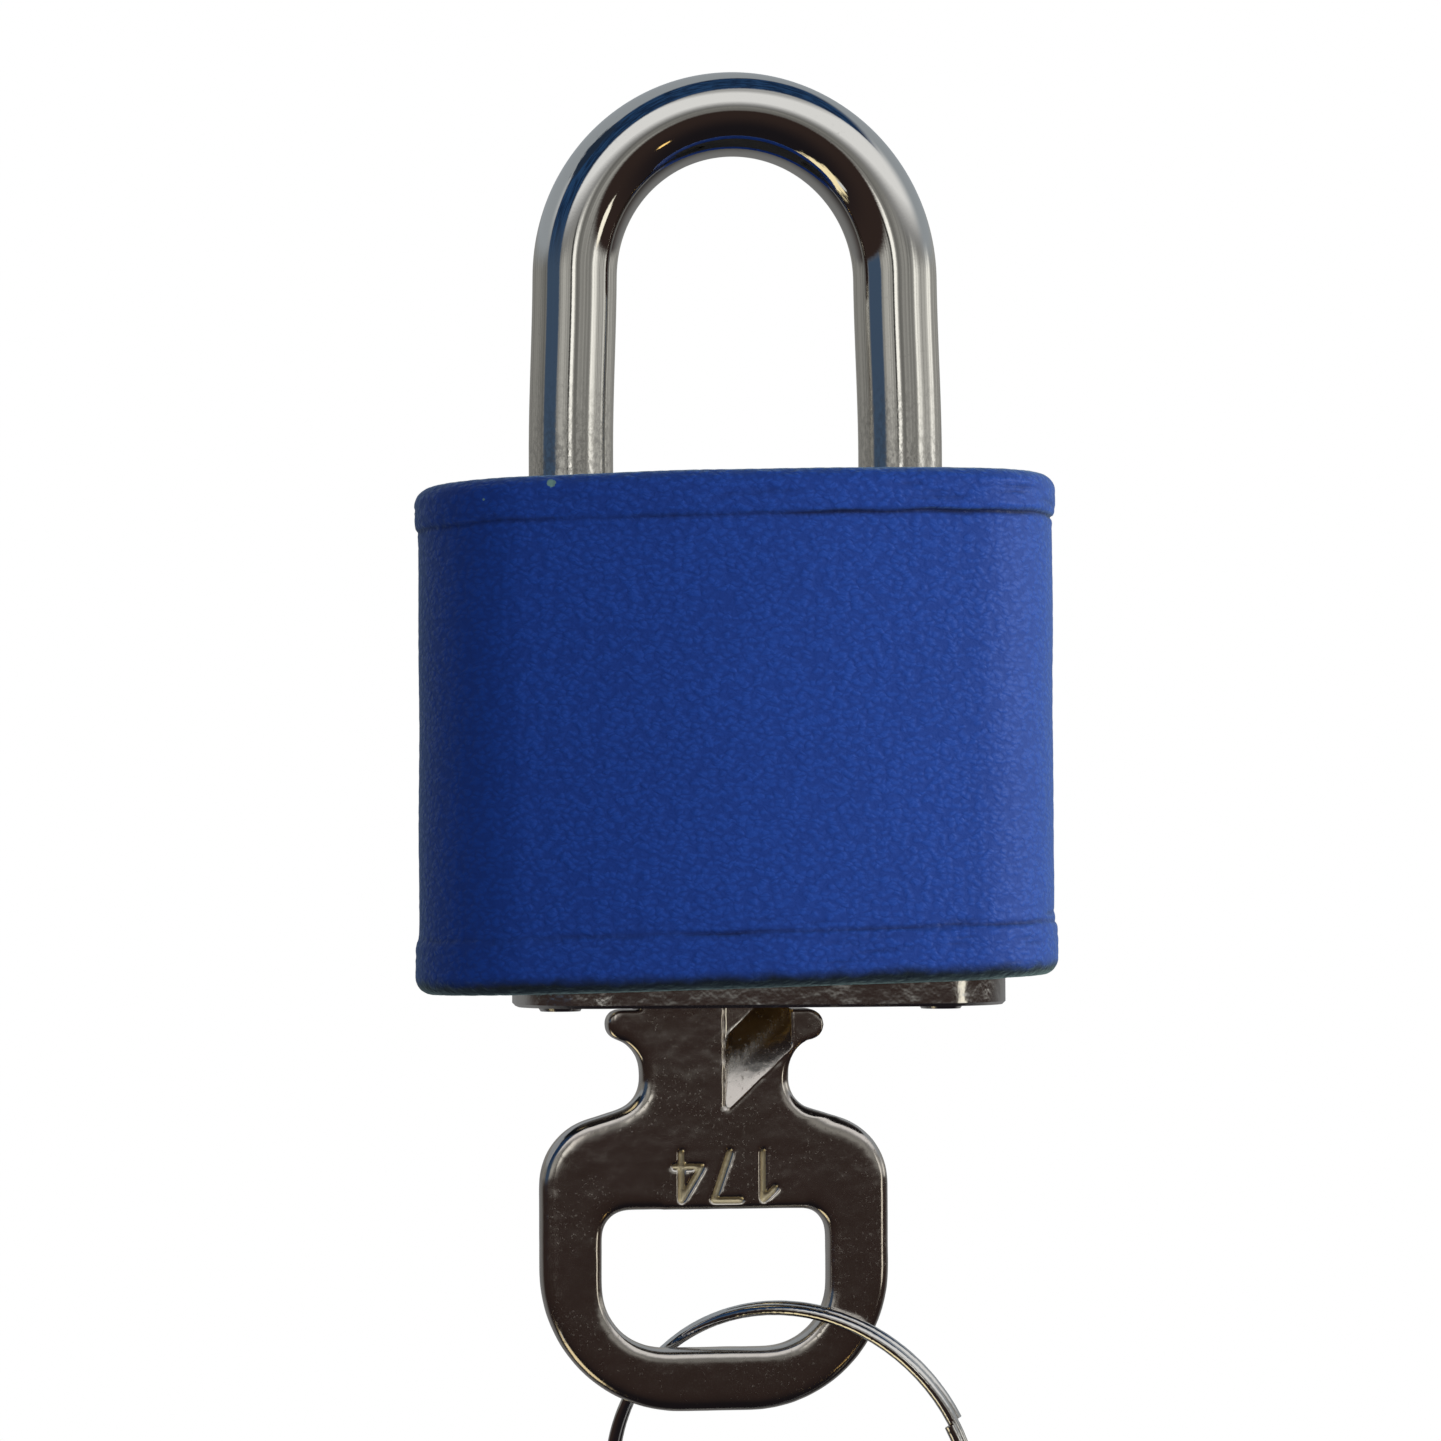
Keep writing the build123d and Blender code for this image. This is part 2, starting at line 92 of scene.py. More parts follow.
class Shade:
    """Short calls that build one node tree."""

    def __init__(self, tree):
        self.tree = tree
        tree.nodes.clear()

    def add(self, kind, **settings):
        node = self.tree.nodes.new(kind)
        for name, value in settings.items():
            setattr(node, name, value)
        return node

    def put(self, socket, value):
        """Links an output to the socket, or sets the socket's own value."""
        if isinstance(value, bpy.types.NodeSocket):
            self.tree.links.new(value, socket)
        else:
            socket.default_value = value

    def math(self, operation, first, second=0.0, clamp=False):
        node = self.add("ShaderNodeMath", operation=operation, use_clamp=clamp)
        self.put(node.inputs[0], first)
        self.put(node.inputs[1], second)
        return node.outputs[0]

    def plus(self, first, second, clamp=False):
        return self.math("ADD", first, second, clamp)

    def times(self, first, second):
        return self.math("MULTIPLY", first, second)

    def axes(self, vector):
        """X, Y and Z of a vector."""
        node = self.add("ShaderNodeSeparateXYZ")
        self.put(node.inputs[0], vector)
        return node.outputs

    def vector(self, operation, first, second=(0, 0, 0)):
        node = self.add("ShaderNodeVectorMath", operation=operation)
        self.put(node.inputs[0], first)
        self.put(node.inputs[1], second)
        return node.outputs["Value" if operation in ("DOT_PRODUCT", "DISTANCE") else "Vector"]

    def spread(self, value, low, high, to_low=0.0, to_high=1.0):
        """Smooth step of a value from one range to another."""
        node = self.add("ShaderNodeMapRange", interpolation_type="SMOOTHSTEP")
        for socket, given in zip(node.inputs, (value, low, high, to_low, to_high)):
            self.put(socket, given)
        return node.outputs[0]

    def band(self, value, rise, fall):
        """1 between two smooth steps and 0 outside them, where each step is a range of the value."""
        return self.times(self.spread(value, *rise), self.spread(value, *fall, 1.0, 0.0))

    def mix(self, share, first, second, blend="MIX"):
        node = self.add("ShaderNodeMix", data_type="RGBA", blend_type=blend)
        self.put(node.inputs["Factor"], share)
        self.put(node.inputs[6], first)
        self.put(node.inputs[7], second)
        return node.outputs[2]

    def ramp(self, value, stops):
        """Colour ramp with stops of (place from 0 to 1, colour or grey)."""
        node = self.add("ShaderNodeValToRGB")
        band = node.color_ramp
        while len(band.elements) < len(stops):
            band.elements.new(1.0)
        for element, (place, colour) in zip(band.elements, stops):
            element.position = place
            element.color = tint(colour)
        self.put(node.inputs[0], value)
        return node.outputs[0]

    def noise(self, place, size, detail=2.0, roughness=0.5, stretch=(1, 1, 1)):
        """Noise with features of a size in millimetres."""
        node = self.add("ShaderNodeTexNoise")
        if stretch != (1, 1, 1):
            place = self.vector("MULTIPLY", place, stretch)
        self.put(node.inputs["Vector"], place)
        node.inputs["Scale"].default_value = 1 / (size * mm)
        node.inputs["Detail"].default_value = detail
        node.inputs["Roughness"].default_value = roughness
        return node.outputs["Fac"]

    def cells(self, place, size, feature="F1"):
        """Voronoi distance with cells of a size in millimetres."""
        node = self.add("ShaderNodeTexVoronoi", feature=feature)
        self.put(node.inputs["Vector"], place)
        node.inputs["Scale"].default_value = 1 / (size * mm)
        return node.outputs["Distance"]

    def bump(self, height, depth):
        """Bump of a depth in millimetres where the height goes from 0 to 1."""
        node = self.add("ShaderNodeBump")
        node.inputs["Distance"].default_value = depth * mm
        self.put(node.inputs["Height"], height)
        return node.outputs["Normal"]


def tint(colour):
    """RGBA of a grey or an RGB colour."""
    if isinstance(colour, (int, float)):
        colour = (colour, colour, colour)
    return (*colour, 1.0)


def surface(name):
    """New material with its node tree, its Principled shader and its object coordinates."""
    made = bpy.data.materials.new(name)
    made.use_nodes = True
    shade = Shade(made.node_tree)
    shader = shade.add("ShaderNodeBsdfPrincipled")
    output = shade.add("ShaderNodeOutputMaterial")
    shade.put(output.inputs["Surface"], shader.outputs["BSDF"])
    place = shade.add("ShaderNodeTexCoord").outputs["Object"]
    return made, shade, shader, place


# ---- materials ----


def leather_finish():
    """Royal-blue leather: fine soft pebble, shade put into the colour of the creases, dark edge paint with
    shade put into the colour along the lower edge, and a few pale chips.
    """
    made, shade, shader, place = surface("blue_leather")
    warp_size, warp_reach, pebble_size, swell_size, relief = 0.5, 0.3, 0.24, 0.30, 0.042
    chips = ((-7.59, 19.10, 0.22), (-10.1, 18.62, 0.09), (-9.3, 17.6, 0.07))  # x, height and radius
    warp = shade.add("ShaderNodeTexNoise")
    shade.put(warp.inputs["Vector"], place)
    warp.inputs["Scale"].default_value = 1 / (warp_size * mm)
    shift = shade.vector("MULTIPLY", warp.outputs["Color"], (warp_reach * mm,) * 3)
    bent = shade.vector("MULTIPLY", shade.vector("ADD", place, shift), (0.72, 0.72, 1.4))
    pebbles = shade.spread(shade.cells(bent, pebble_size, "SMOOTH_F1"), 0.1, 0.6, 1.0, 0.0)
    valleys = shade.spread(shade.cells(bent, pebble_size, "DISTANCE_TO_EDGE"), 0.0, 0.22)
    pebbles = shade.plus(shade.times(pebbles, 0.8), shade.times(valleys, 0.2))
    swell = shade.noise(bent, swell_size, 1.0, 0.4)
    fine = shade.noise(place, 0.1, 2.0, 0.5)
    grain = shade.plus(shade.times(pebbles, 0.5), shade.times(swell, 0.6))
    grain = shade.plus(grain, shade.times(fine, 0.12))
    patches = shade.noise(place, 5.0, 3.0, 0.55)
    colour = shade.mix(patches, tint((0.008, 0.058, 0.37)), tint((0.010, 0.068, 0.43)))
    colour = shade.mix(shade.spread(grain, 0.35, 0.75, 0.34, 0.0), colour, tint((0.003, 0.016, 0.16)))
    # painted shade: the colour darkens in the creases and wrinkles, by the share the sleeve's mesh carries
    # for them
    crease_shade = shade.add("ShaderNodeAttribute", attribute_name="crease_shade").outputs["Fac"]
    colour = shade.mix(shade.times(crease_shade, 0.95), colour, tint((0.002, 0.008, 0.07)))
    across = shade.axes(place)
    level = shade.math("SUBTRACT", across["Z"], shade.times(across["X"], skew))
    ragged = shade.plus(level, shade.times(shade.noise(place, 0.9), 0.4 * mm))
    # the lower edge darkens: partly dark edge paint, partly painted shade
    edge_paint_and_shade = shade.spread(ragged, at(0.45), at(1.0), 1.0, 0.0)
    colour = shade.mix(edge_paint_and_shade, colour, tint((0.004, 0.009, 0.022)))
    for x, height, radius in chips:
        spot = (x * mm, shift_to_front(x, height) * mm, at(height) + x * skew * mm)
        far = shade.vector("DISTANCE", place, spot)
        rough_edge = shade.plus(far, shade.times(shade.noise(place, 0.12, 3.0), -0.8 * radius * mm))
        chip = shade.spread(rough_edge, 0.25 * radius * mm, 0.45 * radius * mm, 1.0, 0.0)
        colour = shade.mix(chip, colour, tint((0.20, 0.36, 0.33)))
    shade.put(shader.inputs["Base Color"], colour)
    shade.put(shader.inputs["Roughness"], shade.spread(grain, 0.3, 0.9, 0.60, 0.46))
    shade.put(shader.inputs["Normal"], shade.bump(grain, relief))
    shader.inputs["Specular IOR Level"].default_value = 0.26
    shader.inputs["Sheen Weight"].default_value = 0.34
    shader.inputs["Sheen Roughness"].default_value = 0.45
    shader.inputs["Sheen Tint"].default_value = tint((0.62, 0.95, 0.95))
    return made


def panel_finish():
    """Near-black leather of the top's inlay."""
    made, shade, shader, place = surface("dark_leather")
    grain = shade.spread(shade.cells(place, 0.3, "SMOOTH_F1"), 0.1, 0.6, 1.0, 0.0)
    tone = shade.mix(shade.noise(place, 3.0, 3.0), tint((0.020, 0.019, 0.020)), tint((0.045, 0.040, 0.036)))
    shade.put(shader.inputs["Base Color"], tone)
    shade.put(shader.inputs["Roughness"], shade.spread(grain, 0.2, 0.8, 0.62, 0.48))
    shade.put(shader.inputs["Normal"], shade.bump(grain, 0.04))
    return made


def plated_finish(name, colour, roughness, wear, pitted_below=None, dents=0.0):
    """Bright plate with cloudy wear, shallow dents, and pitting that thickens below a height."""
    made, shade, shader, place = surface(name)
    relief, pitting_fade = 0.003, 6
    clouds = shade.spread(shade.noise(place, 2.5, 4.0, 0.65), 0.45, 0.7)
    specks = shade.spread(shade.noise(place, 0.2, 3.0, 0.7), 0.58, 0.70)
    worn = shade.times(specks, shade.times(clouds, 0.45))
    height = shade.times(shade.noise(place, 0.12, 4.0, 0.6), 0.25)
    if pitted_below:
        across = shade.axes(place)
        ragged = shade.plus(across["Z"], shade.times(shade.noise(place, 1.5, 3.0), 5 * mm))
        low = shade.spread(ragged, at(pitted_below), at(pitted_below + pitting_fade), 1.0, 0.0)
        grime = shade.spread(shade.noise(place, 0.16, 3.0, 0.65, stretch=(1, 1, 0.6)), 0.40, 0.62)
        grime = shade.times(grime, 0.85)
        worn = shade.plus(worn, shade.times(low, grime), clamp=True)
        height = shade.plus(height, shade.times(low, shade.noise(place, 0.1, 3.0, 0.6)))
    if dents:
        height = shade.plus(height, shade.times(shade.noise(place, 0.9, 3.0, 0.5), dents / relief))
    colour = shade.mix(worn, tint(colour), tint([0.74 * part for part in colour]))
    shade.put(shader.inputs["Base Color"], colour)
    shade.put(shader.inputs["Roughness"], shade.plus(shade.times(worn, wear), roughness))
    shade.put(shader.inputs["Normal"], shade.bump(height, relief))
    shader.inputs["Metallic"].default_value = 1.0
    return made


def key_finish():
    """Worn nickel over tumbled brass, with cutter marks left bright in the milled step."""
    made, shade, shader, place = surface("worn_nickel")
    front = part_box("key")[0].y
    across = shade.axes(place)
    facing = shade.axes(shade.add("ShaderNodeTexCoord").outputs["Normal"])
    deep = shade.spread(across["Y"], front + 0.3 * mm, front + 0.5 * mm)
    milled = shade.times(deep, shade.spread(facing["Y"], -0.9, -0.3, 1.0, 0.0))

    fade = 0.1 * mm
    left, right, low, high = -2.9 * mm, 2.4 * mm, at(-8.5), at(-6.2)  # box round the stamped number
    sunk = shade.band(
        across["Y"], (front + 0.04 * mm, front + 0.09 * mm), (front + 0.25 * mm, front + 0.35 * mm)
    )
    in_height = shade.band(across["Z"], (low, low + fade), (high - fade, high))
    in_width = shade.band(across["X"], (left, left + fade), (right - fade, right))
    stamped = shade.times(sunk, shade.times(in_height, in_width))

    across_slope = (-0.687, 0, 0.727)  # unit vector at right angles to the step's sloping lower edge
    from_tip = shade.vector("SUBTRACT", place, (step_left * mm, 0, at(step_tip)))
    off_edge = shade.vector("DOT_PRODUCT", from_tip, across_slope)
    streaks = shade.noise(place, 0.5, 3.0, 0.6, stretch=(3, 1, 0.4))
    uneven = shade.plus(off_edge, shade.times(streaks, 0.9 * mm))
    cut = shade.times(milled, shade.spread(uneven, 1.0 * mm, 1.9 * mm, 1.0, 0.0))
    clouds = shade.spread(shade.noise(place, 2.2, 4.0, 0.65), 0.40, 0.66)
    specks = shade.spread(shade.noise(place, 0.14, 3.0, 0.7), 0.56, 0.68)
    worn = shade.times(specks, shade.plus(shade.times(clouds, 0.75), 0.12))
    colour = shade.mix(shade.noise(place, 1.2, 3.0), tint((0.66, 0.60, 0.57)), tint((0.62, 0.60, 0.55)))
    colour = shade.mix(worn, colour, tint((0.50, 0.45, 0.40)))
    colour = shade.mix(milled, colour, tint((0.80, 0.77, 0.71)))
    colour = shade.mix(stamped, colour, tint((0.86, 0.76, 0.52)))
    shade.put(shader.inputs["Base Color"], colour)
    cutter = shade.noise(place, 0.07, 2.0, 0.6, stretch=(1, 1, 0.06))
    rough = shade.plus(shade.times(worn, 0.26), 0.14)
    rough = shade.plus(rough, shade.times(cut, 0.32))
    rough = shade.plus(rough, shade.times(stamped, 0.34))
    shade.put(shader.inputs["Roughness"], rough)
    dents = shade.plus(shade.noise(place, 0.8, 2.0, 0.45), shade.times(specks, 0.03))
    dents = shade.plus(dents, shade.times(shade.times(cutter, milled), 0.35))
    shade.put(shader.inputs["Normal"], shade.bump(dents, 0.014))
    shader.inputs["Metallic"].default_value = 1.0
    return made


def turned_finish(name, colour, roughness):
    """Machined metal with fine turning lines and light tarnish."""
    made, shade, shader, place = surface(name)
    lines = shade.noise(place, 0.5, 3.0, 0.6, stretch=(1, 1, 12))
    tarnish = shade.spread(shade.noise(place, 1.8, 3.0, 0.6), 0.4, 0.75)
    dull = [0.6 * part for part in colour]
    shade.put(shader.inputs["Base Color"], shade.mix(tarnish, tint(colour), tint(dull)))
    shade.put(shader.inputs["Roughness"], shade.plus(shade.times(lines, 0.15), roughness))
    shade.put(shader.inputs["Normal"], shade.bump(lines, 0.004))
    shader.inputs["Metallic"].default_value = 1.0
    return made


# ---- leather ----

end_radius = 5.4
edge_round = 0.7
half_width = (sleeve_high.x - sleeve_low.x) / 2 / mm
half_depth = (sleeve_high.y - sleeve_low.y) / 2 / mm
end_x = half_width - end_radius
bow_radius = (end_x**2 + half_depth**2 - end_radius**2) / (2 * (half_depth - end_radius))


def shift_to_front(x, height):
    """Y of the leather's front at x and a height, in millimetres, round the top's rounded edge."""
    rise = max(0.0, height - (body_height / mm - edge_round))
    if abs(x) > end_x:
        front = -sqrt(end_radius**2 - (abs(x) - end_x) ** 2)
    else:
        front = bow_radius - half_depth - sqrt(bow_radius**2 - x**2)
    return front + edge_round - sqrt(edge_round**2 - rise**2)


def oval_columns(count):
    """Points, outward normals and distances, evenly along the body's oval from the middle of the back."""
    bow_centre = bow_radius - half_depth
    turn = atan2(bow_centre, end_x)
    bow, end = bow_radius * (pi / 2 - turn), end_radius * 2 * turn
    arcs = [
        (0, -bow_centre, bow_radius, pi / 2, bow),
        (-end_x, 0, end_radius, pi - turn, end),
        (0, bow_centre, bow_radius, pi + turn, 2 * bow),
        (end_x, 0, end_radius, -turn, end),
        (0, -bow_centre, bow_radius, turn, bow),
    ]
    total = 4 * bow + 2 * end
    points, normals, runs = [], [], []
    for step in range(count):
        run = total * step / count
        rest = run
        for centre_x, centre_y, radius, start, length in arcs:
            if rest <= length:
                break
            rest -= length
        angle = start + rest / radius
        normal = (cos(angle), sin(angle))
        points.append((centre_x + radius * normal[0], centre_y + radius * normal[1]))
        normals.append(normal)
        runs.append(run)
    return np.array(points), np.array(normals), np.array(runs)


def plate_edge(points, gap):
    """Nearest points on the base plate's rounded outline, grown by a gap."""
    corner = 3.4
    inner_low = np.array([plate_low.x / mm + corner, plate_low.y / mm + corner])
    inner_high = np.array([plate_high.x / mm - corner, plate_high.y / mm - corner])
    nearest = np.clip(points, inner_low, inner_high)
    away = points - nearest
    return nearest + away * ((corner + gap) / np.linalg.norm(away, axis=1))[:, None]


def closed_faces(rows, columns):
    """Quads of a grid that closes on itself both ways."""
    faces = []
    for row in range(rows):
        here, above = row * columns, (row + 1) % rows * columns
        for column in range(columns):
            beside = (column + 1) % columns
            faces.append((here + column, here + beside, above + beside, above + column))
    return faces


def grid_normals(points):
    """Unit normals of a closed grid of points."""
    along = np.roll(points, -1, axis=1) - np.roll(points, 1, axis=1)
    up = np.roll(points, -1, axis=0) - np.roll(points, 1, axis=0)
    normals = np.cross(along, up)
    return normals / np.maximum(np.linalg.norm(normals, axis=2), 1e-12)[:, :, None]


def pebble_depth(points):
    """Depth of the grain's valleys at each point, from 0 to 1."""
    cell, valley = 0.5, 0.35
    depth = np.zeros(len(points))
    for index, point in enumerate(points):
        near = noise.voronoi(Vector((point[0] * 0.8, point[1] * 0.8, point[2] * 1.1)) / cell)[0]
        depth[index] = max(0.0, 1 - (near[1] - near[0]) / valley)
    return depth


def slow_wave(points, size):
    """Smooth noise from -1 to 1 at each point, with waves of a size in millimetres."""
    return np.array([noise.noise(Vector(point) / size) for point in points])


def make_sleeve(finish):
    """Leather wrapped round the case and turned in at both ends, as one closed skin."""
    columns = 448
    band_step, edge, lip, lip_round = 0.15, edge_round, 0.6, 0.15
    # distances between rows: by the creases, on the plain middle, and across the top
    fine, coarse, spacing = 0.075, 0.2, 0.15
    plain_low, plain_high = 2.6, 17.1
    lower_band, upper_band, top_inset, inner = 2.1, 1.7, 2.6, 0.77
    height = body_height / mm
    points, normals, runs = oval_columns(columns)
    rim = plate_edge(points, 0.06)

    rows = []  # inset from the oval, height, share of the way to the base plate's outline, grain
    for start, end, gap in (
        (edge, plain_low, fine), (plain_low, plain_high, coarse), (plain_high, height - edge, fine)
    ):
        rows += [(0, level, 0, 1) for level in np.arange(start, end, gap)]
    for step in range(11):
        angle = pi / 2 * step / 10
        rows.append((edge * (1 - cos(angle)), height - edge + edge * sin(angle), 0, 1))
    for inset in np.arange(edge + spacing, top_inset - lip_round, spacing):
        rows.append((inset, height, 0, 1))
    for step in range(4):
        angle = pi / 2 * step / 3
        inset = top_inset - lip_round + lip_round * sin(angle)
        rows.append((inset, height - lip_round * (1 - cos(angle)), 0, 1))
    rows.append((top_inset, height - lip, 0, 0))
    rows.append((inner, height - lip, 0, 0))
    for level in (14.0, 9.5, 5.0, lip):
        rows.append((inner, level, 0, 0))
    rows.append((inner, lip, 1, 0))
    for step in range(4):
        angle = pi / 2 * step / 3
        rows.append((inner, lip_round * (1 - sin(angle)), 1 - 0.04 * (1 - cos(angle)), 0))
    for share in np.linspace(0.9, 0.1, 8):
        rows.append((edge, 0, share, 1))
    for step in range(10):
        angle = pi / 2 * step / 10
        rows.append((edge * (1 - sin(angle)), edge * (1 - cos(angle)), 0, 1))
    insets, levels, shares, grain = (np.array(part)[:, None] for part in zip(*rows))

    # where the cover lies on the case it is slimmer than where it laps over the two flanges
    band_blend = 0.13
    above_lower = 1 / (1 + np.exp(-(levels - lower_band) / band_blend))
    above_upper = 1 / (1 + np.exp(-(levels - height + upper_band) / band_blend))
    slim = above_lower - above_upper
    insets = insets + band_step * slim * (insets < edge)
    flat = points[None] - insets[:, :, None] * normals[None]
    flat = flat * (1 - shares[:, :, None]) + rim[None] * shares[:, :, None]
    grid = np.concatenate([flat, np.broadcast_to(levels[:, :, None], flat.shape[:2] + (1,))], axis=2)

    long_creases, wrinkles = leather_creases(runs[None], levels, height - upper_band, lower_band)
    shadow = np.clip((long_creases + 0.5 * wrinkles) * grain / 0.11, 0, 1)
    depth = long_creases + wrinkles
    flat_points = grid.reshape(-1, 3)
    depth += 0.012 * pebble_depth(flat_points).reshape(depth.shape)
    depth += 0.035 * (1 + slow_wave(flat_points, 4.0).reshape(depth.shape))
    seam = np.minimum(runs, runs[-1] + runs[1] - runs)[None]
    depth += 0.16 * np.exp(-((seam / 0.12) ** 2))
    grid = grid - (depth * grain)[:, :, None] * grid_normals(grid)
    grid[:, :, 2] += skew * grid[:, :, 0]

    vertices = grid.reshape(-1, 3) * mm + np.array([0, 0, foot])
    mesh = bpy.data.meshes.new("leather_cover")
    mesh.from_pydata(vertices.tolist(), [], closed_faces(len(rows), columns))
    # the mesh carries the painted shade of its creases and wrinkles for the leather's colour
    mesh.attributes.new("crease_shade", "FLOAT", "POINT").data.foreach_set("value", shadow.ravel())
    return dress(new_object("leather_cover", mesh), "case", "leather", finish, "leather_sleeve")


def leather_creases(runs, levels, upper, lower):
    """Depths in millimetres of the long creases beside the bands and of the short wrinkles round them."""
    total = runs.max() + runs[0, 1]
    front_right = np.exp(-(((runs - 0.62 * total) / (0.2 * total)) ** 2))
    depth = np.zeros(np.broadcast(runs, levels).shape)
    for level, deepest in ((upper - 0.06, 0.24), (lower + 0.06, 0.13)):
        wander = np.array([noise.noise(Vector((run * 0.45, level, 0))) for run in runs[0]])[None]
        patchy = 0.55 + 0.45 * np.array([noise.noise(Vector((run * 0.3, level, 7))) for run in runs[0]])[None]
        line = level + 0.09 * wander
        depth += deepest * (0.35 + 0.65 * front_right) * patchy * np.exp(-(((levels - line) / 0.085) ** 2))
    wrinkles = np.zeros(depth.shape)
    draw = np.random.default_rng(7)
    for _ in range(110):
        place = draw.uniform(0, total)
        on_top = draw.random() < 0.45
        level = draw.uniform(upper + 0.05, upper + 1.05) if on_top else draw.uniform(lower - 1.3, lower + 0.5)
        length, slope = draw.uniform(0.35, 1.3), draw.normal(0, 0.06)
        nearer_right = 0.35 + 0.65 * np.exp(-(((place - 0.66 * total) / (0.16 * total)) ** 2))
        gap = (runs - place + total / 2) % total - total / 2
        across = (levels - level - slope * gap) / draw.uniform(0.055, 0.09)
        wrinkles += draw.uniform(0.03, 0.10) * nearer_right * np.exp(-(across**2) - (gap / length) ** 2)
    return depth, wrinkles


def remeshed(node, name, voxel, smoothing):
    """Copy of a CAD node's mesh as even small quads with softened edges, worked out in millimetres."""
    mesh = frame["nodes"][node].data.copy()
    mesh.transform(Matrix.Scale(1 / mm, 4))
    copied = new_object(name + "_rough", mesh)
    remesh = copied.modifiers.new("remesh", "REMESH")
    remesh.mode = "VOXEL"
    remesh.voxel_size = voxel
    soften = copied.modifiers.new("soften", "SMOOTH")
    soften.iterations = smoothing
    soften.factor = 0.5
    bpy.context.view_layer.update()
    evaluated = copied.evaluated_get(bpy.context.evaluated_depsgraph_get())
    mesh = bpy.data.meshes.new_from_object(evaluated)
    bpy.data.objects.remove(copied)
    mesh.transform(Matrix.Scale(mm, 4))
    mesh.name = name
    return mesh


def shift_vertices(mesh, moved):
    """Moves every vertex of the mesh to what moved gives for its place and normal."""
    places = [vertex.co.copy() for vertex in mesh.vertices]
    normals = [vertex.normal.copy() for vertex in mesh.vertices]
    shifted = [part for place, normal in zip(places, normals) for part in moved(place, normal)]
    mesh.vertices.foreach_set("co", shifted)
    mesh.update()


def rounded(mesh, share_of, passes):
    """Evens out the mesh, each vertex by the share of its place, so that its edges look tumbled."""
    count = len(mesh.vertices)
    places = np.empty(count * 3)
    mesh.vertices.foreach_get("co", places)
    places = places.reshape(-1, 3)
    edges = np.empty(len(mesh.edges) * 2, dtype=np.int32)
    mesh.edges.foreach_get("vertices", edges)
    first, second = edges.reshape(-1, 2).T
    links = np.bincount(edges, minlength=count)
    shares = share_of(places)
    for _ in range(passes):
        for axis in range(3):
            around = np.bincount(first, weights=places[second, axis], minlength=count)
            around += np.bincount(second, weights=places[first, axis], minlength=count)
            places[:, axis] += 0.5 * shares * (around / links - places[:, axis])
    mesh.vertices.foreach_set("co", places.ravel())
    mesh.update()


def make_top_panel(finish):
    """Leather panel let into the top, a little pillowed."""
    mesh = remeshed("leather_top_panel", "top_panel", 0.11, 4)

    def pillowed(point, normal):
        point.z += skew * point.x
        if normal.z > 0.3:
            point.z -= 0.05 * mm * (1 + noise.noise(point / (2.5 * mm)))
            point.z -= 0.015 * mm * pebble_depth([[part / mm for part in point]])[0]
        return point

    shift_vertices(mesh, pillowed)
    return dress(new_object("top_panel", mesh), "case", "leather", finish, "leather_top_panel")


# ---- metal ----


def make_shackle(finish):
    """Bent rod with its toe notch, retaining neck and collar, swept as rings of points."""
    around = 96
    rod = (shackle_high.y - shackle_low.y) / 2 / mm
    leg_x = shackle_high.x / mm - rod
    arch_centre = (shackle_high.z - foot) / mm - rod - leg_x
    toe_tip, tip_chamfer = 14.2, 0.4
    notch_low, notch_high, notch_half = 16.5, 17.8, 1.1
    heel_end, neck, collar = 13.4, 1.1, 1.5
    collar_high, collar_low = 6.0, 5.0
    draw_low, draw_span, draw_in = 20.5, 7.5, 0.026  # the arch is a little narrower than the legs below it

    rings = [(leg_x, toe_tip, rod - tip_chamfer, 0, rod), (leg_x, toe_tip + tip_chamfer, rod, 0, rod)]
    for level, half in (
        (notch_low, rod), (notch_low, notch_half), (notch_high, notch_half), (notch_high, rod)
    ):
        rings.append((leg_x, level, rod, 0, half))
    rings += [(leg_x, level, rod, 0, rod) for level in np.linspace(notch_high + 0.5, arch_centre, 20)]
    for angle in np.linspace(0, pi, 97)[1:-1]:
        rings.append((leg_x * cos(angle), arch_centre + leg_x * sin(angle), rod, angle, rod))
    rings += [(-leg_x, level, rod, pi, rod) for level in np.linspace(arch_centre, heel_end + 0.05, 20)]
    for level, radius in (
        (heel_end, rod - 0.05), (heel_end, neck),
        (collar_high, neck), (collar_high, collar), (collar_low, collar),
    ):
        rings.append((-leg_x, level, radius, pi, rod))

    vertices, faces = [], []
    for x, level, radius, angle, half in rings:
        rise = max(0.0, min(1.0, (level - draw_low) / draw_span))
        x *= 1 - draw_in * rise * rise * (3 - 2 * rise)
        outwards = Vector((cos(angle), 0, sin(angle)))
        for step in range(around):
            turn = 2 * pi * step / around
            y = max(-half, min(half, radius * sin(turn)))
            place = Vector((x, y, 0)) + outwards * radius * cos(turn)
            vertices.append(place * mm + Vector((0, 0, at(level))))
    for row in range(len(rings) - 1):
        here, following = row * around, (row + 1) * around
        for step in range(around):
            beside = (step + 1) % around
            faces.append((here + step, following + step, following + beside, here + beside))
    faces.append(tuple(range(around)))
    faces.append(tuple(reversed(range((len(rings) - 1) * around, len(rings) * around))))
    mesh = bpy.data.meshes.new("shackle_rod")
    mesh.from_pydata(vertices, [], faces)
    piece = dress(new_object("shackle_rod", mesh), "shackle", "nickel", finish, "shackle")
    mesh.set_sharp_from_angle(angle=radians(35))
    return piece


